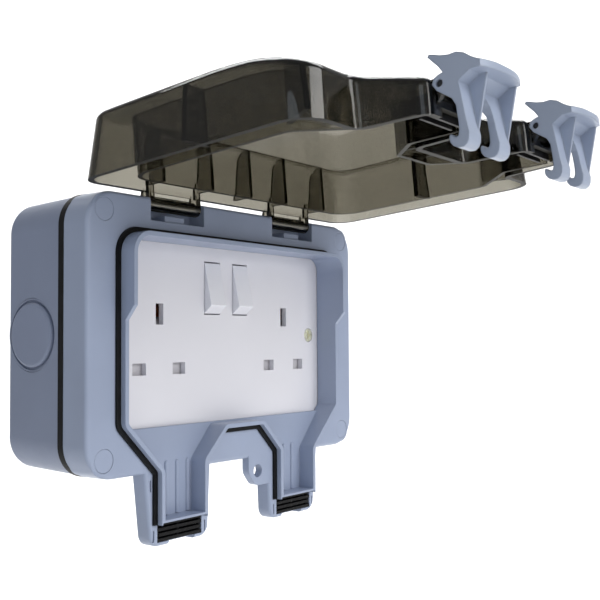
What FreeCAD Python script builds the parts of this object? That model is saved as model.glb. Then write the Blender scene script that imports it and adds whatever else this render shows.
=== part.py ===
import FreeCAD, Part
import math
import os

# Weatherproof two-gang switched socket, surface mounted.
# Frame: +X right seen from the front, +Y into the wall, +Z up, millimetres.
# Origin: centre of the flat rear face that lies against the wall.

V = FreeCAD.Vector

# ---------------------------------------------------------------- dimensions
half_w = 85.0            # front frame, half width
half_h = 54.0            # front frame, half height
frame_r = 13.0           # corner radius of the frame
y_face = -49.0           # flat front face of the frame
y_band = -36.1           # rear edge of the frame band
y_box = -33.0            # front edge of the back box
face_t = 2.5             # thickness of the front face
band_t = 2.5             # thickness of the side band
leg_end = -82.7          # lower end of the two cable legs
leg_back = -42.2         # rear face of the legs
chan_y = -44.2           # floor of the cable channels
leg_c = 37.05            # centre of a leg in x
tab_t = 3.6              # thickness of the padlock tab
lip_hi = -57.1           # front of the raised lip, upper half
lip_lo = -52.35          # front of the raised lip, lower half
lip_t = 1.8              # lip wall
seal_w = 2.0             # width of the lid seal
seal_front = -50.0       # front of the lid seal
plate_y = -41.0          # front of the socket plate
plate_hw, plate_hh = 73.0, 43.0
sock_x = 40.5            # socket centres
pin_z = -13.85           # live and neutral slots
earth_z = 8.38           # earth slots
rocker_x = 9.05          # rocker centres
rocker_z = 20.05
rocker_y = -38.0         # rocker pivot
rocker_hw = 4.75
rocker_rad = 11.2
axis_y, axis_z = -44.7, 52.15   # lid hinge axis
lid_open = 94.85         # lid angle in the rest pose, degrees from shut
rim_y = -49.25           # lid rim plane when shut
lid_top = 53.27          # lid upper edge when shut
lid_wall = 2.4
web_t = 1.8
pivot_s, pivot_h = 134.4, 9.3   # latch pivot: distance down the lid, height above its rim
latch_hw = 14.7          # latch half width
latch_pin_r = 1.2
hinge_pin_r = 1.5
knock_y, knock_r = -16.1, 14.3
cover_x, cover_z = 76.5, 46.75  # corner screws
plate_screw_x = 60.3
wall_hole_x, wall_hole_z = 58.0, 30.0

os.makedirs("parts", exist_ok=True)
nodes = {}


def rwire(pts, y, plane="xz"):
    """Closed wire from corner points (a, b, r) with rounded corners."""
    n = len(pts)
    segs = []
    for i in range(n):
        a0, b0 = pts[i - 1][0], pts[i - 1][1]
        a1, b1, r = pts[i]
        a2, b2 = pts[(i + 1) % n][0], pts[(i + 1) % n][1]
        if r <= 0:
            segs.append(((a1, b1), None, (a1, b1)))
            continue
        u = (a0 - a1, b0 - b1)
        v = (a2 - a1, b2 - b1)
        lu, lv = math.hypot(*u), math.hypot(*v)
        u = (u[0] / lu, u[1] / lu)
        v = (v[0] / lv, v[1] / lv)
        cosang = max(-1.0, min(1.0, u[0] * v[0] + u[1] * v[1]))
        half = math.acos(cosang) / 2
        t = r / math.tan(half)
        p = (a1 + u[0] * t, b1 + u[1] * t)
        q = (a1 + v[0] * t, b1 + v[1] * t)
        m = (u[0] + v[0], u[1] + v[1])
        lm = math.hypot(*m)
        d = r / math.sin(half)
        c = (a1 + m[0] / lm * d, b1 + m[1] / lm * d)
        k = (c[0] - m[0] / lm * r, c[1] - m[1] / lm * r)
        segs.append((p, k, q))

    def w(pt):
        return V(pt[0], y, pt[1]) if plane == "xz" else V(y, pt[0], pt[1])

    edges = []
    for i in range(n):
        p, k, q = segs[i]
        if k is not None:
            edges.append(Part.Arc(w(p), w(k), w(q)).toShape())
        nxt = segs[(i + 1) % n][0]
        if math.hypot(q[0] - nxt[0], q[1] - nxt[1]) > 1e-6:
            edges.append(Part.LineSegment(w(q), w(nxt)).toShape())
    return Part.Wire(edges)


def prism(pts, y0, y1):
    """Outline in XZ, extruded from y0 to y1."""
    f = Part.Face(rwire([(p[0], p[1], p[2] if len(p) > 2 else 0) for p in pts], y0))
    return f.extrude(V(0, y1 - y0, 0))


def xprism(pts, x0, x1):
    """Outline in YZ, extruded from x0 to x1."""
    f = Part.Face(rwire([(p[0], p[1], p[2] if len(p) > 2 else 0) for p in pts], x0, "yz"))
    return f.extrude(V(x1 - x0, 0, 0))


def rect(x0, x1, z0, z1, r=0.0):
    return [(x0, z0, r), (x1, z0, r), (x1, z1, r), (x0, z1, r)]


def box(x0, x1, y0, y1, z0, z1):
    return Part.makeBox(x1 - x0, y1 - y0, z1 - z0, V(x0, y0, z0))


def cyl_y(x, z, r, y0, y1):
    return Part.makeCylinder(r, y1 - y0, V(x, y0, z), V(0, 1, 0))


def cyl_x(y, z, r, x0, x1):
    return Part.makeCylinder(r, x1 - x0, V(x0, y, z), V(1, 0, 0))


def cyl_z(x, y, r, z0, z1):
    return Part.makeCylinder(r, z1 - z0, V(x, y, z0), V(0, 0, 1))


def mirror(s):
    return s.mirror(V(0, 0, 0), V(1, 0, 0))


def union(items):
    s = items[0]
    if len(items) > 1:
        s = s.fuse(items[1:])
    try:
        t = s.removeSplitter()
        return t if t.isValid() else s
    except Exception:
        return s


def solid(s):
    if s.ShapeType == "Solid":
        return s
    sol = s.Solids
    if len(sol) == 1:
        return sol[0]
    return Part.makeCompound(sol)


def mirrored(half):
    """Close a list of right-half points (from top to bottom) with its mirror image."""
    return half + [(-p[0], p[1], p[2]) for p in reversed(half)]


def offset_prism(wire_pts, d, y0, y1):
    w = rwire(wire_pts, y0)
    if abs(d) > 1e-9:
        w = w.makeOffset2D(d)
    return Part.Face(w).extrude(V(0, y1 - y0, 0))


def fillet_try(s, edges, radii):
    for r in radii:
        try:
            t = s.makeFillet(r, edges)
            if t.isValid() and t.Volume > 0 and len(t.Solids) == 1:
                return t
        except Exception:
            pass
    return s


# ------------------------------------------------------------ shared outlines
# Outer line of the raised lip, which runs round the recess and both channels.
leg_lo, leg_li = leg_c - 13.05, leg_c + 13.05
lip_half = [(69.1, 39.3, 8.5), (69.1, -34.5, 4.0), (leg_li, -53.5, 2.5), (leg_li, -74.0, 0.0),
            (leg_lo, -74.0, 0.0), (leg_lo, -51.7, 2.0), (11.75, -39.45, 2.0)]
lip_pts = mirrored(lip_half)

# One leg, seen from the front, including its root inside the body of the frame.
leg_pts = [(56.6, -50.0, 0), (52.8, leg_end, 5.0), (20.2, leg_end, 5.0), (18.4, -50.0, 0)]

# ---------------------------------------------------------------- front frame
body_rect = rect(-half_w, half_w, -half_h, half_h, frame_r)
face = prism(body_rect, y_face, y_face + face_t)
band = prism(body_rect, y_face, y_band).cut(
    prism(rect(-half_w + band_t, half_w - band_t, -half_h + band_t, half_h - band_t, frame_r - band_t),
          y_face + face_t, y_band + 1))
fused = [face, band]
for sgn in (1, -1):
    leg = prism(leg_pts, y_face, leg_back)
    if sgn < 0:
        leg = mirror(leg)
    fused.append(leg)
frame = union(fused)
# soften the front edge all round, side band and legs together
front_edges = [e for e in frame.Edges
               if abs(e.BoundBox.YMin - y_face) < 1e-4 and abs(e.BoundBox.YMax - y_face) < 1e-4]
frame = fillet_try(frame, front_edges, (1.6, 1.2, 0.8))

lip_solid = prism(lip_pts, lip_hi, -41.3)
# the lip steps down over the lower half
step_cut = xprism([(lip_hi - 2, 10.9), (lip_hi, 10.9), (lip_lo, 5.4), (lip_lo, -90), (lip_hi - 2, -90)],
                  -100, 100)
lip_solid = lip_solid.cut(step_cut)
# pads behind the hinge notches
notch_x0, notch_x1, notch_z = 22.6, 53.0, 44.8
pads = []
for sgn in (1, -1):
    xa, xb = sorted((sgn * (notch_x0 - 1.6), sgn * (notch_x1 + 1.6)))
    pads.append(box(xa, xb, y_face + 0.2, -39.3, notch_z - 1.6, half_h - 0.4))
# corner screw bosses
bosses = []
for sx in (1, -1):
    for sz in (1, -1):
        bosses.append(cyl_y(sx * cover_x, sz * cover_z, 6.0, y_face + 0.5, y_band))
frame = union([frame, lip_solid] + pads + bosses)
# outer band keeps its outline where bosses reach past it
# inside of the recess: a through window above, a ramp, then the channel floors
inner_all = offset_prism(lip_pts, -lip_t, lip_hi - 1, -41.0)
floor_keep = xprism([(-43.0, -37.0), (chan_y, -50.0), (chan_y, -95.0), (-30.0, -95.0), (-30.0, -37.0)],
                    -100, 100)
window = inner_all.cut(floor_keep)
frame = frame.cut(window)
# thin the ramp from behind so that it stays in front of the socket plate
# seal groove round the lip, open where the cable seals sit
groove = offset_prism(lip_pts, seal_w, -52.0, -46.9).cut(prism(lip_pts, -53.0, -46.0))
groove = groove.cut(box(-100, 100, -60, -40, -90, -74.0))
frame = frame.cut(groove)
# pockets for the rubber cable seals at the end of both channels
for sgn in (1, -1):
    xa, xb = sorted((sgn * (leg_lo + 0.6), sgn * (leg_li - 0.6)))
    frame = frame.cut(box(xa, xb, -60.0, -43.4, leg_end + 1.6, -73.2))
    # shallow cable exit in the end wall
    xa, xb = sorted((sgn * (leg_c - 8.5), sgn * (leg_c + 6.0)))
    frame = frame.cut(box(xa, xb, -60.0, -46.4, leg_end - 1, leg_end + 1.7))
    xa, xb = sorted((sgn * (leg_c - 8.5), sgn * (leg_c + 6.0)))
    frame = frame.cut(box(xa, xb, -60.0, -41.0, leg_end - 1, leg_end + 0.8))
# hinge notches, open to the front and the top
for sgn in (1, -1):
    xa, xb = sorted((sgn * notch_x0, sgn * notch_x1))
    frame = frame.cut(box(xa, xb, -60.0, -40.6, notch_z, half_h + 5))
    xa, xb = sorted((sgn * (notch_x0 - 1.55), sgn * (notch_x1 + 1.55)))
    frame = frame.cut(cyl_x(axis_y, axis_z, hinge_pin_r, xa, xb))
# corner screws: counterbore for the cover, seat for the head, clearance for the shank
for sx in (1, -1):
    for sz in (1, -1):
        frame = frame.cut(cyl_y(sx * cover_x, sz * cover_z, 4.5, y_face - 1, y_face + 1.3))
        frame = frame.cut(cyl_y(sx * cover_x, sz * cover_z, 3.4, y_face + 1.2, y_face + 6.0))
        frame = frame.cut(cyl_y(sx * cover_x, sz * cover_z, 1.9, y_face + 5.9, y_band + 1))
# ribs on both channel floors
ribs = []
for sgn in (1, -1):
    for k in ((-7.25, -1.15, 4.95) if sgn > 0 else (-9.15, -3.05, 3.05, 9.15)):
        x = sgn * leg_c + k
        rib = Part.makeCylinder(0.95, 20.4, V(x, chan_y + 0.1, -71.9), V(0, 0, 1))
        ribs.append(rib.fuse(Part.makeSphere(0.95, V(x, chan_y + 0.1, -51.5))))
# padlock eye beside the right leg, and its bore
tab = prism([(5.4, -52.0, 0), (5.4, -60.5, 5.0), (10.2, -66.4, 4.5), (20.5, -66.4, 0), (20.5, -52.0, 0)],
            y_face, y_face + tab_t)
# small ledge in the middle of each notch
ledges = []
for sgn in (1, -1):
    xa, xb = sorted((sgn * 33.0, sgn * 44.0))
    ledges.append(box(xa, xb, -47.6, -40.4, notch_z - 0.2, 47.4))
frame = union([frame, tab] + ribs + ledges)
frame = frame.cut(cyl_y(11.6, -60.0, 2.8, -60, -30))
# narrow drip slots beside the channels
for sgn in (1, -1):
    for z0, z1, xo in ((-61.0, -56.5, 15.75), (-80.6, -76.2, 14.1)):
        xa, xb = sorted((sgn * (leg_c + xo), sgn * (leg_c + xo + 0.6)))
        frame = frame.cut(box(xa, xb, y_face - 1, y_face + 1.2, z0, z1))
    xa, xb = sorted((sgn * (leg_c - 14.7), sgn * (leg_c - 14.1)))
    frame = frame.cut(box(xa, xb, y_face - 1, y_face + 1.2, -80.6, -76.2))
# rear face of the frame must not reach behind the band
frame = frame.cut(box(-100, 100, y_band, 10, -100, 100))
nodes["front_frame"] = solid(frame)

# --------------------------------------------------------------- lid seals
seal = offset_prism(lip_pts, seal_w, seal_front, -46.9).cut(prism(lip_pts, -53.0, -46.0))
seal = seal.cut(box(-100, 100, -60, -40, -90, -74.0))
pieces = sorted(seal.Solids, key=lambda s: -s.Volume)
nodes["lid_seal_perimeter"] = pieces[0]
nodes["lid_seal_arch"] = pieces[1]


def cable_seal(y_base, y_tip, direction):
    """Rubber block with four stiff lamellae, for the right-hand leg, at the channel end."""
    x0, x1 = leg_lo + 0.7, leg_li - 0.7
    base = box(x0, x1, min(y_base, y_base + direction * 1.6), max(y_base, y_base + direction * 1.6), leg_end + 1.7, -73.3)
    items = [base]
    for k in range(4):
        z = leg_end + 1.8 + k * 2.05
        fin = box(x0 + 0.4 * (k % 2), x1 - 0.6 * (k % 2), min(y_base, y_tip), max(y_base, y_tip), z, z + 1.2)
        items.append(fin)
    post = box(leg_c - 0.7, leg_c + 0.7, min(y_base, y_tip - direction * 1.2), max(y_base, y_tip - direction * 1.2), leg_end + 1.8, -73.4)
    items.append(post)
    for sx in (x0, x1 - 1.2):
        items.append(box(sx, sx + 1.2, min(y_base, y_tip - direction * 0.8), max(y_base, y_tip - direction * 0.8), leg_end + 1.8, -73.4))
    return solid(union(items))


cs = cable_seal(-43.45, -49.0, -1)
nodes["frame_cable_seal_right"] = cs
nodes["frame_cable_seal_left"] = solid(mirror(cs))

# ----------------------------------------------------- corner screws, covers
scr, cov = [], []
for sx in (1, -1):
    for sz in (1, -1):
        x, z = sx * cover_x, sz * cover_z
        s = cyl_y(x, z, 3.2, y_face + 3.6, y_face + 6.0).fuse(cyl_y(x, z, 1.6, y_face + 5.9, -14.0))
        s = s.cut(box(x - 2.4, x + 2.4, y_face + 3.5, y_face + 4.6, z - 0.4, z + 0.4))
        s = s.cut(box(x - 0.4, x + 0.4, y_face + 3.5, y_face + 4.6, z - 2.4, z + 2.4))
        scr.append(solid(s.removeSplitter()))
        c = cyl_y(x, z, 4.42, y_face + 0.1, y_face + 1.3).fuse(cyl_y(x, z, 3.3, y_face + 1.2, y_face + 2.6))
        cov.append(solid(c.removeSplitter()))
nodes["frame_screws"] = Part.makeCompound(scr)
nodes["screw_covers"] = Part.makeCompound(cov)

# ------------------------------------------------------------------- gasket
gask = prism(rect(-half_w - 0.05, half_w + 0.05, -half_h - 0.05, half_h + 0.05, frame_r), y_band, y_box)
gask = gask.cut(prism(rect(-half_w + 5.0, half_w - 5.0, -half_h + 5.0, half_h - 5.0, 9.0), y_band - 1, y_box + 1))
for sx in (1, -1):
    for sz in (1, -1):
        pad = cyl_y(sx * cover_x, sz * cover_z, 6.0, y_band, y_box)
        gask = gask.fuse(pad)
gask = gask.removeSplitter()
gask = gask.common(prism(rect(-half_w - 0.05, half_w + 0.05, -half_h - 0.05, half_h + 0.05, frame_r), y_band, y_box))
for sx in (1, -1):
    for sz in (1, -1):
        gask = gask.cut(cyl_y(sx * cover_x, sz * cover_z, 1.7, y_band - 1, y_box + 1))
nodes["box_gasket"] = solid(gask)

# ----------------------------------------------------------------- back box
bw1, bh1 = 84.7, 53.7      # at the front edge
bw0, bh0 = 83.6, 52.6      # at the wall


def box_shell(d, y0, y1):
    """Drafted rounded block between y0 (front) and y1 (wall), inset by d."""
    def at(y):
        t = (y - y_box) / (0.0 - y_box)
        w = bw1 + (bw0 - bw1) * t - d
        h = bh1 + (bh0 - bh1) * t - d
        return rwire(rect(-w, w, -h, h, frame_r - d), y)
    return Part.makeLoft([at(y0), at(y1)], True, True)


outer = box_shell(0.0, y_box, 0.0)
rear_edges = [e for e in outer.Edges if abs(e.BoundBox.YMin) < 1e-4 and abs(e.BoundBox.YMax) < 1e-4]
outer = fillet_try(outer, rear_edges, (3.0, 2.0, 1.0))
inner = box_shell(2.8, y_box - 0.0, -3.0)
bb = outer.cut(inner)
add = []
for sx in (1, -1):
    for sz in (1, -1):
        add.append(cyl_y(sx * cover_x, sz * cover_z, 4.6, y_box, -2.5))
        # web from the boss to the corner wall
        add.append(cyl_y(sx * (cover_x + 1.2), sz * (cover_z + 1.0), 4.2, y_box, -2.5))
    add.append(cyl_y(sx * plate_screw_x, 0.0, 4.2, -33.1, -2.5))
    add.append(box(sx * plate_screw_x - 1.0, sx * plate_screw_x + 1.0, -20.0, -2.5, -9.0, 9.0))
    for sz in (1, -1):
        add.append(cyl_y(sx * wall_hole_x, sz * wall_hole_z, 5.5, -5.5, -2.5))
    # flat seat and collar for the side plug
    xa, xb = sorted((sx * 77.8, sx * 83.0))
    add.append(cyl_x(knock_y, 0.0, 14.2, xa, xb))
bb = union([bb] + add)
bb = bb.common(union([outer, box_shell(0.0, y_box, -0.001)]))
for sx in (1, -1):
    for sz in (1, -1):
        bb = bb.cut(cyl_y(sx * cover_x, sz * cover_z, 1.6, y_box - 1, -12.0))
        bb = bb.cut(cyl_y(sx * wall_hole_x, sz * wall_hole_z, 3.0, -10.0, 1.0))
        bb = bb.cut(cyl_y(sx * wall_hole_x, sz * wall_hole_z, 4.4, -10.0, -3.6))
    bb = bb.cut(cyl_y(sx * plate_screw_x, 0.0, 1.55, -34.0, -9.0))
    xa, xb = sorted((sx * 70.0, sx * 90.0))
    bb = bb.cut(cyl_x(knock_y, 0.0, 11.6, xa, xb))
    xa, xb = sorted((sx * 82.6, sx * 90.0))
    bb = bb.cut(cyl_x(knock_y, 0.0, knock_r, xa, xb))
# cable entry outlines on the top and the bottom wall, left as thin skins
for sx in (1, -1):
    for sz in (1, -1):
        za, zb = sorted((sz * (bh0 + 0.0), sz * (bh0 + 3.0)))
        ring = cyl_z(sx * 40.0, knock_y, 12.4, za, zb).cut(cyl_z(sx * 40.0, knock_y, 11.4, za - 1, zb + 1))
        bb = bb.cut(ring)
nodes["back_box"] = solid(bb)

# ------------------------------------------------------------- side plugs
for name, sx in (("side_plug_right", 1), ("side_plug_left", -1)):
    a = 82.65
    xa, xb = sorted((sx * a, sx * (a + 1.35)))
    rim = cyl_x(knock_y, 0.0, 14.15, xa, xb)
    xa, xb = sorted((sx * a, sx * (a + 2.3)))
    disc = cyl_x(knock_y, 0.0, 12.5, xa, xb)
    edges = [e for e in disc.Edges if abs(abs(e.BoundBox.XMin) - (a + 2.3)) < 1e-4 and abs(abs(e.BoundBox.XMax) - (a + 2.3)) < 1e-4]
    disc = fillet_try(disc, edges, (1.2, 0.8))
    xa, xb = sorted((sx * 78.4, sx * (a + 0.2)))
    stem = cyl_x(knock_y, 0.0, 11.55, xa, xb).cut(cyl_x(knock_y, 0.0, 9.6, min(xa, xb) - 1, max(xa, xb) - 0.4)
                                                  if sx > 0 else cyl_x(knock_y, 0.0, 9.6, min(xa, xb) + 0.4, max(xa, xb) + 1))
    # shallow ring moat between rim and disc
    xa, xb = sorted((sx * (a + 0.35), sx * (a + 1.6)))
    moat = cyl_x(knock_y, 0.0, 13.5, xa, xb).cut(cyl_x(knock_y, 0.0, 12.5, xa - 1, xb + 1))
    plug = rim.cut(moat).fuse([disc, stem]).removeSplitter()
    nodes[name] = solid(plug)

# -------------------------------------------------------------- socket plate
pl = prism(rect(-plate_hw, plate_hw, -plate_hh, plate_hh, 3.0), plate_y, plate_y + 2.6)
skirt = prism(rect(-plate_hw, plate_hw, -plate_hh, plate_hh, 3.0), plate_y + 2.5, y_box - 0.1).cut(
    prism(rect(-plate_hw + 2.2, plate_hw - 2.2, -plate_hh + 2.2, plate_hh - 2.2, 1.5), plate_y, y_box + 1))
pl = pl.fuse(skirt)
ped = []
for sx in (1, -1):
    ped.append(cyl_y(sx * plate_screw_x, 0.0, 4.6, plate_y + 2.5, y_box - 0.1))
pl = union([pl] + ped)
pin_w, pin_h = 7.3, 4.8
ew, eh = 4.3, 8.6
for sx in (1, -1):
    cx = sx * sock_x
    for dx in (-11.1, 11.1):
        pl = pl.cut(box(cx + dx - pin_w / 2, cx + dx + pin_w / 2, plate_y - 1, plate_y + 3, pin_z - pin_h / 2, pin_z + pin_h / 2))
    pl = pl.cut(box(cx - ew / 2, cx + ew / 2, plate_y - 1, plate_y + 3, earth_z - eh / 2, earth_z + eh / 2))
    pl = pl.cut(box(sx * rocker_x - 5.0, sx * rocker_x + 5.0, plate_y - 1, plate_y + 3, rocker_z - 11.45, rocker_z + 11.45))
    pl = pl.cut(cyl_y(sx * plate_screw_x, 0.0, 3.4, plate_y - 1, plate_y + 1.3))
    pl = pl.cut(cyl_y(sx * plate_screw_x, 0.0, 1.9, plate_y - 1, y_box + 1))
    xa, xb = sorted((sx * rocker_x - 6.6, sx * rocker_x + 6.6))
    pl = pl.cut(cyl_x(rocker_y, rocker_z, 1.25, xa, xb))
nodes["socket_plate"] = solid(pl)

ps = []
for sx in (1, -1):
    x = sx * plate_screw_x
    head = Part.makeCone(3.1, 3.1, 0.7, V(x, plate_y + 0.15, 0.0), V(0, 1, 0)) if False else cyl_y(x, 0.0, 3.15, plate_y + 0.2, plate_y + 1.3)
    shank = cyl_y(x, 0.0, 1.55, plate_y + 1.2, -13.0)
    s = head.fuse(shank)
    s = s.cut(box(x - 0.4, x + 0.4, plate_y - 0.5, plate_y + 1.0, -2.0, 2.0))
    s = s.cut(box(x - 2.0, x + 2.0, plate_y - 0.5, plate_y + 1.0, -0.4, 0.4))
    ps.append(solid(s.removeSplitter()))
nodes["plate_screws"] = Part.makeCompound(ps)

# ------------------------------------------------------------ socket module
mod = box(-55.5, 55.5, plate_y + 2.6, -15.0, -33.5, 34.0)
cut = []
for sx in (1, -1):
    cx = sx * sock_x
    # shutter bay behind the three slots
    cut.append(box(cx - 14.9, cx + 14.9, plate_y + 2.5, -35.2, -24.6, 15.5))
    for dx in (-11.1, 11.1):
        cut.append(box(cx + dx - 4.7, cx + dx + 4.7, -35.3, -17.0, pin_z - 4.3, pin_z + 4.3))
    cut.append(box(cx - 3.9, cx + 3.9, -35.3, -13.0, earth_z - 6.0, earth_z + 6.0))
    # pocket for the shutter spring
    cut.append(cyl_z(cx, -37.1, 1.3, -31.5, -24.0))
    # switch bay
    cut.append(box(sx * rocker_x - 5.2, sx * rocker_x + 5.2, plate_y + 2.5, -24.0, rocker_z - 12.4, rocker_z + 12.4))
for c in cut:
    mod = mod.cut(c)
for sx in (1, -1):
    # pivot bores for the rockers, blind into the bay walls
    xa, xb = sorted((sx * rocker_x - 6.6, sx * rocker_x + 6.6))
    mod = mod.cut(cyl_x(rocker_y, rocker_z, 1.25, xa, xb))
# earth strap slot between the two earth bays
mod = mod.cut(box(-40.5, 40.5, -18.6, -14.0, 6.3, 10.5))
mod = mod.cut(box(-sock_x + 11.1 - 2.0, sock_x + 11.1 + 2.0, -18.6, -14.0, pin_z - 2.2, pin_z + 2.2))
for x in (-20.0, 0.0, 20.0):
    mod = mod.cut(box(x - 4.1, x + 4.1, -19.6, -14.0, -26.0, -17.9))
nodes["socket_module"] = solid(mod.removeSplitter())


def jaw(cx, cz, w, h, iw, ih, y0, y1):
    """Spring contact: a sleeve with an open front."""
    return box(cx - w / 2, cx + w / 2, y0, y1, cz - h / 2, cz + h / 2).cut(
        box(cx - iw / 2, cx + iw / 2, y0 - 1, y1 - 1.2, cz - ih / 2, cz + ih / 2))


# each earth jaw has a lead-in lip that reaches up towards the plate
lips = [box(sx * sock_x + 2.6, sx * sock_x + 3.2, -37.3, -34.0, earth_z - 1.0, earth_z + 4.2) for sx in (1, -1)]
earth = jaw(-sock_x, earth_z, 6.6, 10.6, 4.3, 8.6, -34.8, -17.2).fuse(lips +
    [jaw(sock_x, earth_z, 6.6, 10.6, 4.3, 8.6, -34.8, -17.2),
     box(-sock_x, sock_x, -18.2, -17.2, 6.6, 10.2)]).removeSplitter()
nodes["earth_contact_bar"] = solid(earth)
neutral = jaw(-sock_x + 11.1, pin_z, 8.8, 6.6, 7.0, 4.6, -34.8, -17.3).fuse(
    [jaw(sock_x + 11.1, pin_z, 8.8, 6.6, 7.0, 4.6, -34.8, -17.3),
     box(-sock_x + 11.1, sock_x + 11.1, -18.3, -17.3, pin_z - 1.8, pin_z + 1.8)])
# the strap passes behind the right-hand live jaw
neutral = neutral.cut(box(sock_x - 11.1 - 5.2, sock_x - 11.1 + 5.2, -40, -18.25, pin_z - 8, pin_z + 8)).removeSplitter()
nodes["neutral_contact_bar"] = solid(neutral)
for name, sx in (("live_contact_left", -1), ("live_contact_right", 1)):
    cx = sx * sock_x - 11.1
    nodes[name] = solid(jaw(cx, pin_z, 8.8, 6.6, 7.0, 4.6, -34.8, -19.0))
tb, ts = [], []
for x in (-20.0, 0.0, 20.0):
    b = box(x - 4.0, x + 4.0, -19.4, -12.0, -25.9, -18.0)
    b = b.cut(cyl_z(x, -15.2, 2.0, -30, -15))
    b = b.cut(cyl_y(x, -20.0, 1.25, -16, -11))
    tb.append(b)
    s = cyl_y(x, -20.0, 1.25, -15.2, -11.0)
    s = s.cut(box(x - 0.3, x + 0.3, -11.6, -10.5, -22, -18))
    ts.append(s)
nodes["terminal_blocks"] = Part.makeCompound(tb)
nodes["terminal_screws"] = Part.makeCompound(ts)

# ---------------------------------------------------------------- shutters
for name, sx in (("shutter_left", -1), ("shutter_right", 1)):
    cx = sx * sock_x
    sh = box(cx - 14.6, cx + 14.6, plate_y + 2.9, -36.4, pin_z - 3.4, pin_z + 3.4)
    sh = sh.fuse(box(cx - 6.0, cx + 6.0, plate_y + 2.9, -36.4, pin_z + 3.3, 2.9))
    # sloped nose that the earth pin pushes down
    nose = xprism([(plate_y + 2.9, 2.8), (plate_y + 2.9, 4.0), (-36.4, 7.0), (-36.4, 2.8)], cx - 3.4, cx + 3.4)
    nodes[name] = solid(sh.fuse(nose).removeSplitter())
for name, sx in (("shutter_spring_left", -1), ("shutter_spring_right", 1)):
    cx = sx * sock_x
    coils = []
    # stand-in for a small compression spring: stacked rings on a core
    core = cyl_z(cx, -37.1, 0.55, -31.45, pin_z - 3.45)
    coils.append(core)
    z = -31.3
    while z < pin_z - 3.6 - 0.5:
        coils.append(cyl_z(cx, -37.1, 0.95, z, z + 0.45))
        z += 0.95
    nodes[name] = solid(union(coils))

# ----------------------------------------------------------------- rockers
for name, sx in (("rocker_left", -1), ("rocker_right", 1)):
    cx = sx * rocker_x
    R = rocker_rad

    def P(dy, dz):
        return V(cx - rocker_hw, rocker_y + dy, rocker_z + dz)

    top = (-3.0, 10.79)
    low = (-3.0, -10.79)
    apex = (-7.0, -7.6)
    back_t = (5.0, 10.02)
    back_b = (5.0, -10.02)
    edges = [Part.LineSegment(P(*top), P(*apex)).toShape(),
             Part.LineSegment(P(*apex), P(*low)).toShape(),
             Part.Arc(P(*low), P(R * math.cos(math.radians(-92)), R * math.sin(math.radians(-92))), P(*back_b)).toShape(),
             Part.LineSegment(P(*back_b), P(*back_t)).toShape(),
             Part.Arc(P(*back_t), P(R * math.cos(math.radians(92)), R * math.sin(math.radians(92))), P(*top)).toShape()]
    f = Part.Face(Part.Wire(edges))
    rk = f.extrude(V(2 * rocker_hw, 0, 0))
    ae = [e for e in rk.Edges if abs(e.BoundBox.YMin - (rocker_y - 7.0)) < 1e-3 and abs(e.BoundBox.YMax - (rocker_y - 7.0)) < 1e-3]
    rk = fillet_try(rk, ae, (0.8, 0.5))
    # stub shaft and the actuating foot
    rk = rk.fuse([cyl_x(rocker_y, rocker_z, 1.2, cx - 6.3, cx + 6.3),
                  box(cx - 2.0, cx + 2.0, rocker_y + 4.9, rocker_y + 9.0, rocker_z - 1.6, rocker_z + 1.6)]).removeSplitter()
    nodes[name] = solid(rk)

# -------------------------------------------------------------------- lid
# Built in the shut position, then turned up about the hinge axis.
out_half = [(85.0, lid_top, 10.0), (85.0, -53.2, 12.0), (57.6, -53.2, 3.0), (54.2, -78.4, 4.0),
            (19.2, -78.4, 4.0), (17.2, -53.2, 3.0)]
lid_pts = mirrored(out_half)
# how far each side leans in over 30 mm, for the side that starts at the same corner
lean_half = [3.4, 1.2, 1.3, 0.8, 1.0]
lid_lean = lean_half + [1.2] + list(reversed(lean_half)) + [4.6]
front_profile = [(-12.0, 24.6), (20.0, 25.2), (55.0, 25.6), (80.0, 25.0), (89.0, 23.6), (98.0, 21.0), (106.0, 18.6),
                 (114.0, 16.6), (124.0, 14.2), (134.0, 11.6), (146.0, 8.2)]


def inset_poly(pts, offs):
    """Corners of a polygon whose sides are moved inwards, each by its own distance."""
    n = len(pts)
    area = sum(pts[i][0] * pts[(i + 1) % n][1] - pts[(i + 1) % n][0] * pts[i][1] for i in range(n))
    sg = 1.0 if area > 0 else -1.0
    lines = []
    for i in range(n):
        x0, z0 = pts[i][0], pts[i][1]
        x1, z1 = pts[(i + 1) % n][0], pts[(i + 1) % n][1]
        l = math.hypot(x1 - x0, z1 - z0)
        nx, nz = -(z1 - z0) / l * sg, (x1 - x0) / l * sg
        lines.append((nx, nz, nx * x0 + nz * z0 + offs[i]))
    res = []
    for i in range(n):
        a1, b1, c1 = lines[i - 1]
        a2, b2, c2 = lines[i]
        det = a1 * b2 - a2 * b1
        res.append(((c1 * b2 - c2 * b1) / det, (a1 * c2 - a2 * c1) / det))
    return res


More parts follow.
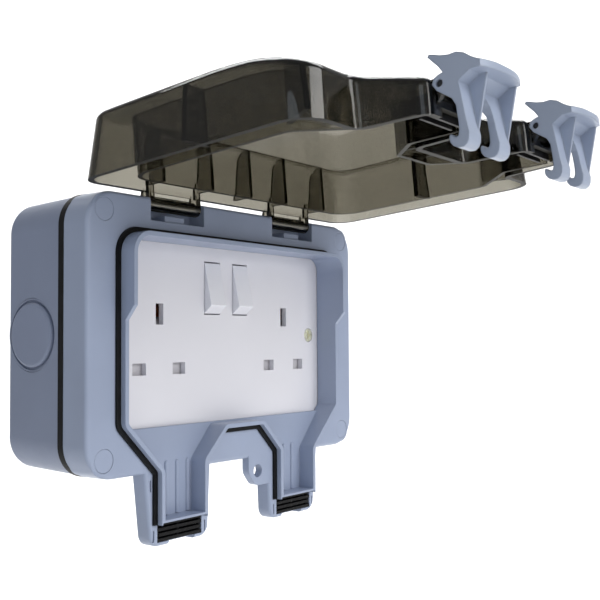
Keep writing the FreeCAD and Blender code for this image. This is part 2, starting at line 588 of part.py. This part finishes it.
def drafted(pts, inset, y0, y1, grow):
    """Block with leaning flat sides and rounded upright corners."""
    n = len(pts)
    dy = (rim_y - y0) / 30.0
    P = inset_poly(pts, [inset + q * dy for q in lid_lean])
    Q = inset_poly(pts, [inset + q * (rim_y - y1) / 30.0 for q in lid_lean])
    p3 = [V(x, y0, z) for x, z in P]
    q3 = [V(x, y1, z) for x, z in Q]
    faces = [Part.Face(Part.makePolygon(p3 + [p3[0]])), Part.Face(Part.makePolygon(q3 + [q3[0]]))]
    for i in range(n):
        j = (i + 1) % n
        faces.append(Part.Face(Part.makePolygon([p3[i], p3[j], q3[j], q3[i], p3[i]])))
    blk = Part.Solid(Part.Shell(faces))
    if blk.Volume < 0:
        blk.reverse()
    for i in range(n):
        concave = pts[i][2] == 3.0
        r = pts[i][2] + (inset if concave else -inset) * grow
        for e in blk.Edges:
            a, b = e.Vertexes[0].Point, e.Vertexes[-1].Point
            if (a.distanceToPoint(p3[i]) < 1e-5 and b.distanceToPoint(q3[i]) < 1e-5) or \
                    (b.distanceToPoint(p3[i]) < 1e-5 and a.distanceToPoint(q3[i]) < 1e-5):
                blk = blk.makeFillet(r, [e])
                break
    return blk


def front_cutter(dh):
    """Everything in front of the lid's front face, lowered by dh."""
    bs = Part.BSplineCurve()
    bs.interpolate([V(-100, rim_y - (h - dh), lid_top - s) for s, h in front_profile])
    e = bs.toShape()
    a = V(-100, rim_y - (front_profile[0][1] - dh), lid_top - front_profile[0][0])
    b = V(-100, rim_y - (front_profile[-1][1] - dh), lid_top - front_profile[-1][0])
    far = rim_y - 60.0
    w = Part.Wire([e, Part.LineSegment(b, V(-100, far, b.z)).toShape(),
                   Part.LineSegment(V(-100, far, b.z), V(-100, far, a.z)).toShape(),
                   Part.LineSegment(V(-100, far, a.z), a).toShape()])
    return Part.Face(w).extrude(V(200, 0, 0))


lid_outer = drafted(lid_pts, 0.0, rim_y, rim_y - 30.0, 1.0).cut(front_cutter(0.0))
# round the edge between the front face and the walls
cand = []
for e in lid_outer.Edges:
    if e.BoundBox.YMax < rim_y - 6.0 and e.Length > 0.5:
        adj = [f for f in lid_outer.Faces if any(x.isSame(e) for x in f.Edges)]
        if any(f.Surface.TypeId != "Part::GeomPlane" and f.BoundBox.XLength > 100 for f in adj):
            cand.append(e)
lid_outer_f = fillet_try(lid_outer, cand, (6.0, 5.0, 4.0, 3.0, 2.0, 1.2))
print("lid outer fillet changed volume", lid_outer.Volume - lid_outer_f.Volume, len(cand))
lid_inner = drafted(lid_pts, lid_wall, rim_y + 0.5, rim_y - 30.0, 1.0).cut(front_cutter(2.6))
shell = lid_outer_f.cut(lid_inner)
# inner walls and webs end inside the outer wall's thickness
lid_mid = drafted(lid_pts, lid_wall / 2, rim_y + 0.5, rim_y - 30.0, 1.0).cut(front_cutter(1.4))

# inner sealing wall that stands over the seal
gap = 0.6
iw = offset_prism(lip_pts, gap + web_t - 0.07, rim_y - 40, rim_y - 1.0).cut(offset_prism(lip_pts, gap, rim_y - 41, rim_y))
iw = iw.cut(box(-100, 100, rim_y - 60, rim_y + 1, -90, -72.6))
iw = iw.common(lid_mid)
# webs between the inner and the outer wall
webs = []
zi = 39.3 + gap
# their corner under the front face is rounded
wc_y, wc_z, wc_r = rim_y - 16.4, lid_top - 10.6, 6.0
corner = [(wc_y + wc_r * math.cos(math.radians(a)), wc_z + wc_r * math.sin(math.radians(a))) for a in range(180, 89, -10)]
corner += [(wc_y, wc_z + 16.0), (wc_y - 16.0, wc_z + 16.0), (wc_y - 16.0, wc_z)]
for x in (-52.0, -24.0, 0.5, 25.0, 54.0):
    web = box(x - 0.9, x + 0.9, rim_y - 40, rim_y - 2.0, zi + 0.9, lid_top - 0.8)
    webs.append(web.cut(xprism(corner, x - 2, x + 2)))
for sx in (1, -1):
    xa, xb = sorted((sx * 70.6, sx * 84.2))
    webs.append(box(xa, xb, rim_y - 40, rim_y - 3.2, -1.8, 0.4))
    # web from the diagonal corner of the inner wall to the lower corner
    w = box(-0.9, 0.9, rim_y - 40, rim_y - 3.2, -17.5, 0.0)
    w.rotate(V(0, 0, 0), V(0, 1, 0), -30 * sx)
    w.translate(V(sx * 70.4, 0, -35.2))
    webs.append(w)
    # webs across the foot of the lid between the arch wall and the lower wall
    webs.append(box(sx * 8.0 - 0.9, sx * 8.0 + 0.9, rim_y - 40, rim_y - 3.2, -52.4, -41.0))
web = union(webs).common(lid_mid)
# latch lugs at the two leg ends
py_, pz_ = rim_y - pivot_h, lid_top - pivot_s
lugs = []
for sx in (1, -1):
    c = sx * leg_c
    for o in (-12.3, 10.1):
        lug = xprism([(rim_y - 4.2, -77.2), (rim_y - 4.2, -79.0), (py_ + 2.6, pz_ + 0.6), (py_ + 2.6, pz_ - 0.4),
                      (py_ - 2.6, pz_ - 0.4), (py_ - 2.6, -77.2)], c + o, c + o + 2.2)
        lugs.append(lug)
        lugs.append(cyl_x(py_, pz_, 2.6, c + o, c + o + 2.2))
# hinge knuckles: a barrel the width of the notch, two arms and a thin plate between them
kn = []
for sx in (1, -1):
    xa, xb = sorted((sx * (notch_x0 + 0.5), sx * (notch_x1 - 0.5)))
    kn.append(cyl_x(axis_y, axis_z, 3.0, xa, xb))
    for u in (xa, xb - 3.0):
        kn.append(xprism([(rim_y - 6.0, lid_top - 1.0), (rim_y - 6.0, lid_top - 4.2), (axis_y - 0.5, axis_z - 3.0),
                          (axis_y + 0.6, axis_z + 2.9), (rim_y - 0.6, lid_top + 0.2), (rim_y - 2.5, lid_top - 0.6)], u, u + 3.0))
    kn.append(xprism([(rim_y - 5.0, lid_top - 1.2), (rim_y - 5.0, lid_top - 3.0), (axis_y - 1.0, axis_z - 1.6),
                      (axis_y - 1.0, axis_z + 0.6)], xa + 2.8, xb - 2.8))
lid = union([shell, iw, web] + lugs + kn)
# bores
for sx in (1, -1):
    xa, xb = sorted((sx * (notch_x0 - 1.0), sx * (notch_x1 + 1.0)))
    lid = lid.cut(cyl_x(axis_y, axis_z, hinge_pin_r + 0.05, xa, xb))
    c = sx * leg_c
    lid = lid.cut(cyl_x(py_, pz_, latch_pin_r, c - 14, c + 14))
# cable exits at both leg ends, closed by the rubber seals
for sx in (1, -1):
    xa, xb = sorted((sx * (leg_c - 11.0), sx * (leg_c + 9.0)))
    lid = lid.cut(box(xa, xb, rim_y - 3.2, rim_y + 1, -80.5, -75.4))
lid_shut = solid(lid)

lcs = []
for sx in (1, -1):
    # rubber block under the lid's leg end, with its lamellae towards the frame
    x0, x1 = leg_lo + 2.3, leg_li - 2.3
    items = [box(x0, x1, rim_y - 8.2, rim_y - 6.2, -75.5, -70.4)]
    for z in (-75.4, -71.6):
        items.append(box(x0 + 0.3, x1 - 0.3, rim_y - 6.4, rim_y - 0.9, z, z + 1.1))
    items.append(box(x0 + 0.3, x1 - 0.3, rim_y - 6.4, rim_y - 3.6, -73.4, -72.3))
    for sxx in (x0, x1 - 1.2):
        items.append(box(sxx, sxx + 1.2, rim_y - 6.4, rim_y - 3.5, -75.4, -70.5))
    b = union(items)
    if sx < 0:
        b = mirror(b)
    lcs.append(b)
# holder ribs that carry the block inside each leg
hold = []
for sx in (1, -1):
    for xo in (-10.5, 9.3):
        x = sx * leg_c + xo
        hold.append(box(x - 0.6, x + 0.6, rim_y - 40, rim_y - 8.2, -77.2, -70.0))
hold = union(hold).common(lid_mid)
lid_shut = solid(union([lid_shut, hold]))

pins = []
for sx in (1, -1):
    c = sx * leg_c
    pins.append(cyl_x(py_, pz_, latch_pin_r, c - 13.7, c + 13.7))


# ----------------------------------------------------------------- latches
def latch(c):
    """Double-hooked latch for the leg centred on x = c, lid shut, at its rest angle."""
    ds = pivot_s - 132.9

    def Q(s, h):
        return (rim_y - h, lid_top - (s + ds))

    side = [(130.2, 19.2), (132.0, 18.7), (134.2, 17.9), (137.0, 17.4), (139.6, 17.6), (142.2, 16.6), (144.6, 14.7), (147.2, 13.2),
            (143.0, 10.6), (139.4, 8.4), (140.0, 4.0), (140.9, -4.0), (141.6, -8.2), (141.3, -10.3), (140.6, -11.6), (139.3, -12.4),
            (137.4, -12.3), (135.9, -11.5), (135.0, -10.2), (134.75, -8.8), (135.0, -7.9), (135.6, -7.8), (136.1, -8.5), (137.0, -9.0),
            (137.9, -8.6), (138.35, -7.4), (138.4, -5.0), (138.0, 1.0), (136.8, 3.4), (131.9, 7.0), (130.4, 9.3), (131.2, 11.2), (132.9, 12.0), (134.4, 12.4),
            (133.0, 14.6), (130.9, 16.9), (129.6, 18.4)]
    pts = [Q(s, h) for s, h in side]
    plate = Part.Face(Part.makePolygon([V(c - latch_hw, p[0], p[1]) for p in pts] +
                                       [V(c - latch_hw, pts[0][0], pts[0][1])])).extrude(V(2 * latch_hw, 0, 0))
    # hooks only at the two sides, below the front plate
    arch = [(-6.6, -30.0), (-6.6, -1.0), (-6.2, 1.6), (-5.2, 4.0), (-3.6, 5.9), (-1.8, 7.0), (0.0, 7.4),
            (1.8, 7.0), (3.6, 5.9), (5.2, 4.0), (6.2, 1.6), (6.6, -1.0), (6.6, -30.0)]
    gp = [V(c + a, rim_y - h, -112.0) for a, h in arch]
    gap_cut = Part.Face(Part.makePolygon(gp + [gp[0]])).extrude(V(0, 0, 42))
    # between the side plates the ear region is hollow
    ear_cut = Part.Face(Part.makePolygon([V(c - latch_hw + 2.1, *Q(s, h)) for s, h in
                                          [(128.0, 3.0), (136.9, 1.6), (136.9, 9.0), (137.6, 12.6), (136.9, 14.0), (135.2, 13.9),
                                           (134.0, 12.9), (128.0, 12.9), (128.0, 3.0)]])).extrude(V(2 * latch_hw - 4.2, 0, 0))
    body = plate.cut(gap_cut).cut(ear_cut)
    # visor: a curved thumb tab
    arc_r = 46.0
    vis = Part.makeCylinder(arc_r, 2.4, V(c, rim_y - 13.4, lid_top - (149.6 + ds) + arc_r), V(0, 1, 0))
    vis = vis.common(box(c - latch_hw, c + latch_hw, rim_y - 16, rim_y - 9, lid_top - (152 + ds), lid_top - (139.4 + ds)))
    vis = vis.common(xprism([Q(138.6, 16.8), Q(142.4, 16.4), Q(150.2, 12.9), Q(150.2, 10.6), Q(146.0, 10.6), Q(138.6, 11.6)],
                            c - 30, c + 30))
    # gussets on each hook's front, and a bevelled front strip
    gus = []
    for x in (c - 7.6, c + latch_hw - 1.0):
        gus.append(Part.Face(Part.makePolygon([V(x, *Q(s, h)) for s, h in
                                               [(146.4, 12.6), (139.2, 9.5), (140.0, -5.6), (141.2, -6.6), (146.4, 12.6)]])).extrude(V(1.0, 0, 0)))
    body = union([body, vis] + gus)
    for x0, x1 in ((c - latch_hw - 0.1, c + latch_hw + 0.1),):
        body = body.cut(cyl_x(py_, pz_, latch_pin_r + 0.05, x0, x1))
    return solid(body)


lat_r = latch(leg_c)
lat_l = solid(mirror(lat_r))
# the gusset side is the same way round on both latches
lat_l = latch(-leg_c)


def up(s):
    t = s.copy()
    t.rotate(V(0, axis_y, axis_z), V(1, 0, 0), -lid_open)
    return t


nodes["lid_shell"] = solid(up(lid_shut))
nodes["lid_cable_seal_right"] = solid(up(lcs[0]))
nodes["lid_cable_seal_left"] = solid(up(lcs[1]))
nodes["latch_pin_right"] = solid(up(pins[0]))
nodes["latch_pin_left"] = solid(up(pins[1]))
nodes["latch_right"] = solid(up(lat_r))
nodes["latch_left"] = solid(up(lat_l))
for name, sx in (("hinge_pin_right", 1), ("hinge_pin_left", -1)):
    xa, xb = sorted((sx * (notch_x0 - 1.5), sx * (notch_x1 + 1.5)))
    nodes[name] = cyl_x(axis_y, axis_z, hinge_pin_r, xa, xb)

# ------------------------------------------------------------------ export
total = Part.makeCompound([nodes[k] for k in nodes])
b = total.BoundBox
print("bbox", round(b.XMin, 2), round(b.XMax, 2), round(b.YMin, 2), round(b.YMax, 2), round(b.ZMin, 2), round(b.ZMax, 2))
lr = nodes["lid_shell"].BoundBox
print("lid", [round(v, 2) for v in (lr.XMin, lr.XMax, lr.YMin, lr.YMax, lr.ZMin, lr.ZMax)])
a = math.radians(lid_open)
dy, dz = py_ - axis_y, pz_ - axis_z
print("latch axis at rest y,z", round(axis_y + dy * math.cos(a) + dz * math.sin(a), 3),
      round(axis_z - dy * math.sin(a) + dz * math.cos(a), 3))
for k, s in nodes.items():
    print(k, s.ShapeType, len(s.Solids), s.isValid(), round(s.Volume, 1))
    s.exportStep("parts/%s.step" % k)
print(len(nodes), "nodes")
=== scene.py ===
import math

import bpy
from mathutils import Matrix, Vector


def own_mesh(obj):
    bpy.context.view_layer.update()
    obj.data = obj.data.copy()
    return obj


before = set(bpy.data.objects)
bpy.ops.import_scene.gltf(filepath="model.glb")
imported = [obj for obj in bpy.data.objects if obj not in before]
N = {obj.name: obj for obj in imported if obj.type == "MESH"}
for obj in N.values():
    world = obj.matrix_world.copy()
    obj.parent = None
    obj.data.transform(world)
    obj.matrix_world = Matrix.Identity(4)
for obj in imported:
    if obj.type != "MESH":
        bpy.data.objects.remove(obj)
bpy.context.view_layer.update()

# --------------------------------------------------------------------- camera
AZ, EL, ROLL = math.radians(-52.759), math.radians(-2.561), math.radians(-0.387)
back = Vector((math.sin(AZ) * math.cos(EL), -math.cos(AZ) * math.cos(EL), math.sin(EL)))
right = Vector((math.cos(AZ), math.sin(AZ), 0.0))
up = back.cross(right)
r2 = right * math.cos(ROLL) + up * math.sin(ROLL)
u2 = -right * math.sin(ROLL) + up * math.cos(ROLL)
cam_data = bpy.data.cameras.new("camera")
cam_data.sensor_width = 36.0
cam_data.lens = 36.0 * 938.94 / 600.0
cam_data.clip_start, cam_data.clip_end = 0.01, 50.0
cam = bpy.data.objects.new("camera", cam_data)
bpy.context.scene.collection.objects.link(cam)
m = Matrix.Identity(4)
for i in range(3):
    m[i][0], m[i][1], m[i][2] = r2[i], u2[i], back[i]
m[0][3], m[1][3], m[2][3] = -0.30925, -0.31696, -0.00336
cam.matrix_world = m
bpy.context.scene.camera = cam


# ------------------------------------------------------------------ materials
def new_mat(name):
    mat = bpy.data.materials.new(name)
    mat.use_nodes = True
    nt = mat.node_tree
    nt.nodes.clear()
    out = nt.nodes.new("ShaderNodeOutputMaterial")
    bsdf = nt.nodes.new("ShaderNodeBsdfPrincipled")
    nt.links.new(bsdf.outputs["BSDF"], out.inputs["Surface"])
    return mat, nt, bsdf, out


def noise(nt, scale, detail=3.0, rough=0.5, stretch=None):
    co = nt.nodes.new("ShaderNodeTexCoord")
    tex = nt.nodes.new("ShaderNodeTexNoise")
    tex.inputs["Scale"].default_value = scale
    tex.inputs["Detail"].default_value = detail
    tex.inputs["Roughness"].default_value = rough
    if stretch:
        mp = nt.nodes.new("ShaderNodeMapping")
        mp.inputs["Scale"].default_value = stretch
        nt.links.new(co.outputs["Object"], mp.inputs["Vector"])
        nt.links.new(mp.outputs["Vector"], tex.inputs["Vector"])
    else:
        nt.links.new(co.outputs["Object"], tex.inputs["Vector"])
    return tex


def ramp(nt, fac, stops):
    r = nt.nodes.new("ShaderNodeValToRGB")
    while len(r.color_ramp.elements) < len(stops):
        r.color_ramp.elements.new(0.5)
    for el, (p, c) in zip(r.color_ramp.elements, stops):
        el.position = p
        el.color = (*c, 1.0) if len(c) == 3 else c
    nt.links.new(fac, r.inputs["Fac"])
    return r


def to_range(nt, fac, lo, hi, a=0.3, b=0.7):
    n = nt.nodes.new("ShaderNodeMapRange")
    n.inputs["From Min"].default_value = a
    n.inputs["From Max"].default_value = b
    n.inputs["To Min"].default_value = lo
    n.inputs["To Max"].default_value = hi
    nt.links.new(fac, n.inputs["Value"])
    return n


def bump(nt, bsdf, height, strength, distance, chain=None):
    b = nt.nodes.new("ShaderNodeBump")
    b.inputs["Strength"].default_value = strength
    b.inputs["Distance"].default_value = distance
    nt.links.new(height, b.inputs["Height"])
    if chain is not None:
        nt.links.new(chain.outputs["Normal"], b.inputs["Normal"])
    nt.links.new(b.outputs["Normal"], bsdf.inputs["Normal"])
    return b


def moulded(name, color, rough, grain=2600.0, grain_d=0.00003, var=0.05, spec=0.5, coat=0.0, uneven=0.05, sink=0.10,
            scuff=0.10, edge=0.0):
    """Injection-moulded polymer: faint cloudiness in the colour, fine spark-eroded grain, uneven gloss,
    a few thin pale rub marks, and very shallow sink marks."""
    mat, nt, bsdf, out = new_mat(name)
    cloud = noise(nt, 22.0, 4.0, 0.55)
    lo = tuple(c * (1 - var) for c in color)
    hi = tuple(min(1.0, c * (1 + var)) for c in color)
    r = ramp(nt, cloud.outputs["Fac"], [(0.3, lo), (0.7, hi)])
    marks = noise(nt, 95.0, 6.0, 0.7, (1.0, 1.0, 7.0))
    mk = to_range(nt, marks.outputs["Fac"], 0.0, scuff, 0.62, 0.78)
    mix = nt.nodes.new("ShaderNodeMix")
    mix.data_type = "RGBA"
    mix.inputs["B"].default_value = (*[min(1.0, c * 1.5 + 0.08) for c in color], 1.0)
    nt.links.new(mk.outputs["Result"], mix.inputs["Factor"])
    nt.links.new(r.outputs["Color"], mix.inputs["A"])
    nt.links.new(mix.outputs["Result"], bsdf.inputs["Base Color"])
    smear = noise(nt, 60.0, 5.0, 0.6)
    mr = to_range(nt, smear.outputs["Fac"], rough - uneven, rough + uneven * 1.2)
    nt.links.new(mr.outputs["Result"], bsdf.inputs["Roughness"])
    g = noise(nt, grain, 2.0, 0.5)
    b1 = bump(nt, bsdf, g.outputs["Fac"], 0.35, grain_d)
    if edge:
        bev = nt.nodes.new("ShaderNodeBevel")
        bev.samples = 4
        bev.inputs["Radius"].default_value = edge
        nt.links.new(bev.outputs["Normal"], b1.inputs["Normal"])
    wav = noise(nt, 35.0, 2.0, 0.5)
    bump(nt, bsdf, wav.outputs["Fac"], sink, 0.0004, chain=b1)
    bsdf.inputs["Specular IOR Level"].default_value = spec
    if coat:
        bsdf.inputs["Coat Weight"].default_value = coat
        bsdf.inputs["Coat Roughness"].default_value = 0.15
    return mat


def rubber(name, color=(0.0055, 0.0055, 0.006)):
    mat, nt, bsdf, out = new_mat(name)
    d = noise(nt, 160.0, 4.0, 0.6)
    r = ramp(nt, d.outputs["Fac"], [(0.35, tuple(c * 0.7 for c in color)), (0.75, tuple(c * 1.9 for c in color))])
    nt.links.new(r.outputs["Color"], bsdf.inputs["Base Color"])
    mr = to_range(nt, d.outputs["Fac"], 0.36, 0.56)
    nt.links.new(mr.outputs["Result"], bsdf.inputs["Roughness"])
    g = noise(nt, 1800.0, 2.0, 0.5)
    bump(nt, bsdf, g.outputs["Fac"], 0.4, 0.00004)
    bsdf.inputs["Specular IOR Level"].default_value = 0.16
    return mat


def metal(name, color, rough, stretch=(1.0, 1.0, 1.0), scale=900.0):
    mat, nt, bsdf, out = new_mat(name)
    t = noise(nt, scale, 3.0, 0.6, stretch)
    r = ramp(nt, t.outputs["Fac"], [(0.3, tuple(c * 0.82 for c in color)), (0.7, tuple(min(1, c * 1.08) for c in color))])
    nt.links.new(r.outputs["Color"], bsdf.inputs["Base Color"])
    mr = to_range(nt, t.outputs["Fac"], rough - 0.07, rough + 0.1)
    nt.links.new(mr.outputs["Result"], bsdf.inputs["Roughness"])
    bump(nt, bsdf, t.outputs["Fac"], 0.25, 0.00003)
    bsdf.inputs["Metallic"].default_value = 1.0
    return mat


def smoked(name):
    """Clear smoked polycarbonate: absorbs inside the wall, faint flow lines and light scuffing on the gloss."""
    mat, nt, bsdf, out = new_mat(name)
    bsdf.inputs["Base Color"].default_value = (1.0, 1.0, 1.0, 1.0)
    bsdf.inputs["Transmission Weight"].default_value = 1.0
    bsdf.inputs["IOR"].default_value = 1.50
    scuff = noise(nt, 140.0, 5.0, 0.65)
    mr = to_range(nt, scuff.outputs["Fac"], 0.015, 0.075, 0.45, 0.8)
    nt.links.new(mr.outputs["Result"], bsdf.inputs["Roughness"])
    flow = noise(nt, 9.0, 2.0, 0.5)
    bump(nt, bsdf, flow.outputs["Fac"], 0.15, 0.0008)
    vol = nt.nodes.new("ShaderNodeVolumeAbsorption")
    vol.inputs["Color"].default_value = (0.30, 0.272, 0.180, 1.0)
    vol.inputs["Density"].default_value = 740.0
    nt.links.new(vol.outputs["Volume"], out.inputs["Volume"])
    return mat


housing = moulded("housing_blue_grey", (0.296, 0.345, 0.466), 0.35, edge=0.0005)
box_mat = moulded("box_blue_grey", (0.214, 0.250, 0.350), 0.42, edge=0.0004)
latch_mat = moulded("latch_blue_grey", (0.318, 0.366, 0.470), 0.34, edge=0.0010)
plug_mat = moulded("plug_blue_grey", (0.222, 0.258, 0.362), 0.38, edge=0.0004)
white = moulded("plate_white", (0.727, 0.722, 0.770), 0.32, grain=1200.0, grain_d=0.00001, var=0.008, coat=0.10,
                uneven=0.012, sink=0.03, scuff=0.0)
rock_mat = moulded("rocker_white", (0.772, 0.772, 0.820), 0.28, grain=1200.0, grain_d=0.00001, var=0.006, coat=0.12,
                   uneven=0.012, sink=0.03, scuff=0.0)
module = moulded("module_grey", (0.62, 0.62, 0.66), 0.5, var=0.03)
shutter = moulded("shutter_grey", (0.52, 0.51, 0.54), 0.45, var=0.03)
black = rubber("seal_black")
gasket = rubber("gasket_black", (0.006, 0.006, 0.007))
brass = metal("brass", (0.80, 0.60, 0.28), 0.30)
copper = metal("copper", (0.83, 0.42, 0.24), 0.32)
steel = metal("zinc_steel", (0.62, 0.61, 0.58), 0.32, (1.0, 8.0, 8.0), 600.0)
# painted shade: near-black steel for the latch pins, so that their ends read as the shaded pin holes
pin_steel_painted_shade = metal("pin_steel_painted_shade", (0.07, 0.07, 0.075), 0.42, (1.0, 8.0, 8.0), 600.0)
zinc = metal("yellow_zinc", (0.97, 0.93, 0.72), 0.50, (1.0, 1.0, 1.0), 700.0)
clear = smoked("smoked_polycarbonate")
# painted shade: opaque near-black stand-in for the lid's rim faces, where light dies inside the clear wall
rim_painted_shade = moulded("smoked_rim_painted_shade", (0.022, 0.021, 0.017), 0.50, grain=900.0, var=0.12, spec=0.15, scuff=0.04)

table = {
    "front_frame": housing, "back_box": box_mat, "screw_covers": housing,
    "side_plug_left": plug_mat, "side_plug_right": plug_mat,
    "socket_plate": white, "rocker_left": rock_mat, "rocker_right": rock_mat,
    "lid_seal_perimeter": black, "lid_seal_arch": black,
    "frame_cable_seal_left": black, "frame_cable_seal_right": black,
    "lid_cable_seal_left": black, "lid_cable_seal_right": black,
    "box_gasket": gasket, "frame_screws": steel, "plate_screws": zinc,
    "socket_module": module, "earth_contact_bar": copper, "neutral_contact_bar": brass,
    "live_contact_left": brass, "live_contact_right": brass,
    "terminal_blocks": brass, "terminal_screws": steel,
    "shutter_left": shutter, "shutter_right": shutter,
    "shutter_spring_left": steel, "shutter_spring_right": steel,
    "lid_shell": clear, "latch_pin_left": pin_steel_painted_shade, "latch_pin_right": pin_steel_painted_shade,
    "latch_left": latch_mat, "latch_right": latch_mat,
    "hinge_pin_left": steel, "hinge_pin_right": steel,
}
for name, mat in table.items():
    o = N[name]
    o.data.materials.clear()
    o.data.materials.append(mat)


# painted shade: the lid's rim and the ends of its ribs get an opaque near-black satin material in place of the
# clear wall, standing in for the shade seen looking into them, where light dies in the wall
lid_obj = N["lid_shell"]
lid_obj.data.materials.append(rim_painted_shade)
turn = math.radians(-94.85)
rim_n = Vector((0.0, math.cos(turn), math.sin(turn)))
axis_pt = Vector((0.0, -0.0447, 0.05215))
to_world = lid_obj.matrix_world
for poly in lid_obj.data.polygons:
    nrm = (to_world.to_3x3() @ poly.normal).normalized()
    depth = rim_n.dot(to_world @ poly.center - axis_pt)
    if nrm.dot(rim_n) > 0.97 and depth > -0.013:
        poly.material_index = 1


# small radii on the moulded edges, so that they catch the light as moulded edges do
def soften(name, width, segments=2, angle=38.0):
    o = N[name]
    w = o.modifiers.new("weld", "WELD")
    w.merge_threshold = 0.000004
    b = o.modifiers.new("edge_radius", "BEVEL")
    b.width = width
    b.segments = segments
    b.limit_method = "ANGLE"
    b.angle_limit = math.radians(angle)
    b.use_clamp_overlap = True
    n = o.modifiers.new("normals", "WEIGHTED_NORMAL")
    n.keep_sharp = True
    n.weight = 80


# the two small springs each get a mesh of their own
for sd, sx in (("left", -1), ("right", 1)):
    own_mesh(N["shutter_spring_" + sd])

soften("front_frame", 0.00042)
soften("back_box", 0.0003)
for nm in ("latch_left", "latch_right"):
    soften(nm, 0.0009, 4)
soften("lid_shell", 0.0005, 3, 50.0)
for nm in ("side_plug_left", "side_plug_right"):
    soften(nm, 0.0002)
for nm in ("rocker_left", "rocker_right"):
    soften(nm, 0.00015)
soften("socket_plate", 0.00018)


# ---------------------------------------------------------------------- stage
def flat_mat(name, color, rough):
    mat, nt, bsdf, out = new_mat(name)
    bsdf.inputs["Base Color"].default_value = (*color, 1.0)
    bsdf.inputs["Roughness"].default_value = rough
    return mat


FZ = -0.34
R = 0.9
prof = [(-4.0, FZ), (2.2, FZ)]
for k in range(1, 13):
    a = math.radians(90.0 * k / 12)
    prof.append((2.2 + R * math.sin(a), FZ + R * (1 - math.cos(a))))
prof.append((2.2 + R, 5.0))
verts, faces = [], []
# the sweep faces the camera: it runs along the view's right vector
fwd = Vector((-back.x, -back.y, 0)).normalized()
side = right
for d, z in prof:
    for w in (-6.0, 6.0):
        p = fwd * d + side * w
        verts.append((p.x, p.y, z))
for k in range(len(prof) - 1):
    faces.append((2 * k, 2 * k + 1, 2 * k + 3, 2 * k + 2))
me = bpy.data.meshes.new("floor")
me.from_pydata(verts, [], faces)
for poly in me.polygons:
    poly.use_smooth = True
floor = bpy.data.objects.new("floor", me)
bpy.context.scene.collection.objects.link(floor)
me.materials.append(flat_mat("floor_pale", (0.93, 0.93, 0.93), 0.9))


def area(name, loc, target, size, energy, color=(1, 1, 1), size_y=None):
    d = bpy.data.lights.new(name, "AREA")
    d.energy = energy
    d.color = color
    d.shape = "RECTANGLE"
    d.size = size
    d.size_y = size_y or size
    o = bpy.data.objects.new(name, d)
    bpy.context.scene.collection.objects.link(o)
    o.location = loc
    v = Vector(target) - Vector(loc)
    o.rotation_euler = v.to_track_quat("-Z", "Y").to_euler()
    return o


area("key", (0.25, -1.5, 0.75), (0, -0.05, 0.0), 1.1, 17.0)
area("fill", (-1.5, -0.7, 0.5), (0, -0.05, 0.0), 1.0, 3.4, (0.80, 0.90, 1.0))
area("under", (-0.2, -0.9, -0.28), (0, -0.1, 0.05), 0.8, 1.1)
area("backdrop_light", tuple(fwd * 1.2 + Vector((0, 0, 1.9))), tuple(fwd * 2.6 + Vector((0, 0, 0.2))), 2.4, 85.0)

world = bpy.data.worlds.new("world")
bpy.context.scene.world = world
world.use_nodes = True
bg = world.node_tree.nodes["Background"]
bg.inputs["Color"].default_value = (1.0, 1.0, 1.0, 1.0)
bg.inputs["Strength"].default_value = 0.30
bpy.context.scene.view_settings.view_transform = "Standard"
bpy.context.scene.view_settings.look = "None"
bpy.context.scene.view_settings.exposure = 0.0
